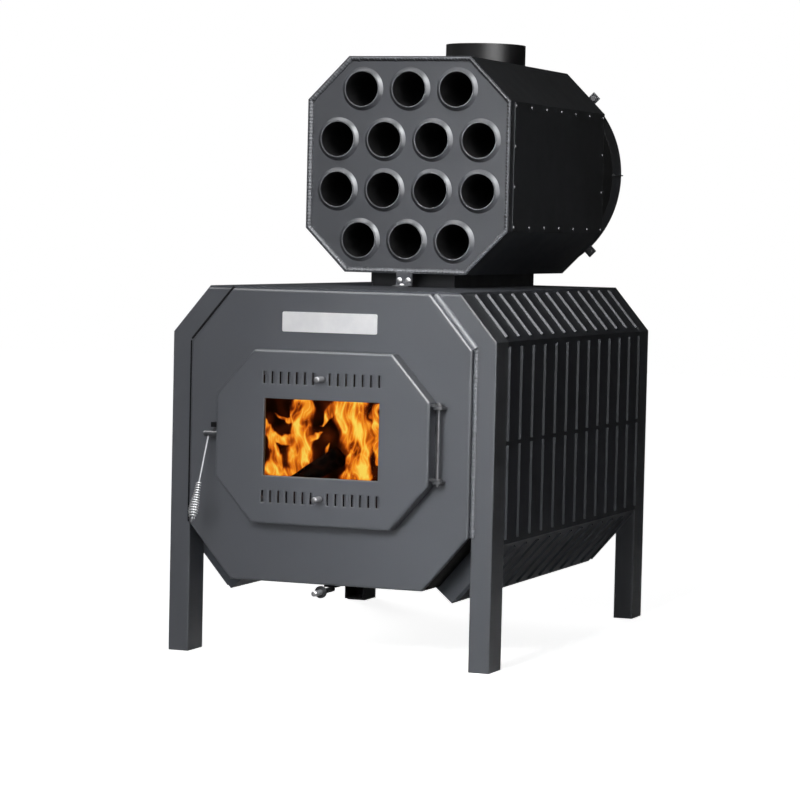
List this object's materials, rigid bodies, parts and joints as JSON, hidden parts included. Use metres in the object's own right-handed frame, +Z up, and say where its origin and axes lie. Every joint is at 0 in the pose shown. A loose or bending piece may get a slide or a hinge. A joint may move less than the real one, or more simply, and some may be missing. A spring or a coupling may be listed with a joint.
{
  "type": "workshop warm air stove",
  "caption": "Wood-burning workshop stove on legs with an octagonal windowed door, ribbed side jackets, a tube heat exchanger with a flue collar on top and a fan behind it.",
  "frame": {"origin": "on the floor, below the middle of the four legs", "axes": "+Z up, front with the door towards -Y, +X to the right of someone facing the door"},
  "size_m": [0.81, 1.4778, 1.48],
  "materials": {
    "body_paint": "semi-matt dark grey heat-proof paint",
    "tube_paint": "semi-matt dark grey heat-proof paint",
    "fire_steel": "sooted bare steel",
    "grate_iron": "rough cast iron",
    "firebrick": "matt light firebrick board",
    "door_paint": "semi-matt dark grey heat-proof paint",
    "rope_seal": "black braided glass-fibre rope",
    "window_glass": "clear heat-proof glass",
    "bright_steel": "bright plated",
    "plain_steel": "zinc plated",
    "plate_aluminium": "plain satin aluminium",
    "fan_black": "black powder coat",
    "fan_blade": "black powder coat"
  },
  "bodies": {
    "stove": {"leg_front_left": "body_paint", "leg_front_right": "body_paint", "leg_rear_left": "body_paint", "leg_rear_right": "body_paint", "top_plate": "body_paint", "jacket_left": "body_paint", "jacket_right": "body_paint", "front_plate": "body_paint", "neck_box": "body_paint", "neck_bracket": "body_paint", "neck_hanger": "body_paint", "exchanger_casing": "body_paint", "side_cover_left": "body_paint", "side_cover_right": "body_paint", "flue_collar": "body_paint", "fan_plate": "body_paint", "fan_drum": "body_paint", "fan_flange": "body_paint", "hinge_lugs_body": "body_paint", "latch_keeper": "body_paint", "air_inlet_box": "body_paint", "damper_guides": "body_paint", "rear_plate": "body_paint", "tube_plate_front": "tube_paint", "tube_plate_rear": "tube_paint", "heat_tubes_row_1": "tube_paint", "heat_tubes_row_2": "tube_paint", "heat_tubes_row_3": "tube_paint", "heat_tubes_row_4": "tube_paint", "smoke_baffle": "tube_paint", "firebox_shell": "fire_steel", "baffle_plate": "fire_steel", "fire_grate": "grate_iron", "firebrick_lining": "firebrick", "hinge_pin": "plain_steel", "neck_bolts": "plain_steel", "flange_bolts": "plain_steel", "cover_rivets": "plain_steel", "name_plate": "plate_aluminium", "fan_guard": "fan_black", "fan_motor": "fan_black"},
    "door": {"door_panel": "door_paint", "door_gasket": "rope_seal", "door_glass": "window_glass", "glass_retainer": "door_paint", "slide_guides": "door_paint", "hinge_lugs_door": "door_paint", "latch_pin": "plain_steel"},
    "upper_slide": {"air_slide_upper": "door_paint", "slide_knob_upper": "bright_steel"},
    "lower_slide": {"air_slide_lower": "door_paint", "slide_knob_lower": "bright_steel"},
    "latch": {"latch_hub": "door_paint", "handle_rod": "bright_steel", "spring_grip": "bright_steel"},
    "air_pull": {"air_rod": "bright_steel", "air_knob": "bright_steel", "air_damper": "plain_steel"},
    "fan": {"fan_impeller": "fan_blade"}
  },
  "joints": [
    {"name": "door_hinge", "type": "hinge", "parent": "stove", "child": "door", "pos_m": [0.278, -0.638, 0.517], "axis": [0, 0, 1], "range_deg": [0, 110]},
    {"name": "upper_slide_travel", "type": "slide", "parent": "door", "child": "upper_slide", "axis": [1, 0, 0], "range_m": [-0.005, 0.005]},
    {"name": "lower_slide_travel", "type": "slide", "parent": "door", "child": "lower_slide", "axis": [1, 0, 0], "range_m": [-0.005, 0.005]},
    {"name": "latch_turn", "type": "hinge", "parent": "door", "child": "latch", "pos_m": [-0.285, -0.638, 0.517], "axis": [1, 0, 0], "range_deg": [-60, 25]},
    {"name": "air_rod_pull", "type": "slide", "parent": "stove", "child": "air_pull", "axis": [0, -1, 0], "range_m": [0, 0.09]},
    {"name": "fan_spin", "type": "hinge", "parent": "stove", "child": "fan", "pos_m": [0, 0.673, 1.156], "axis": [0, 1, 0], "continuous": true}
  ]
}
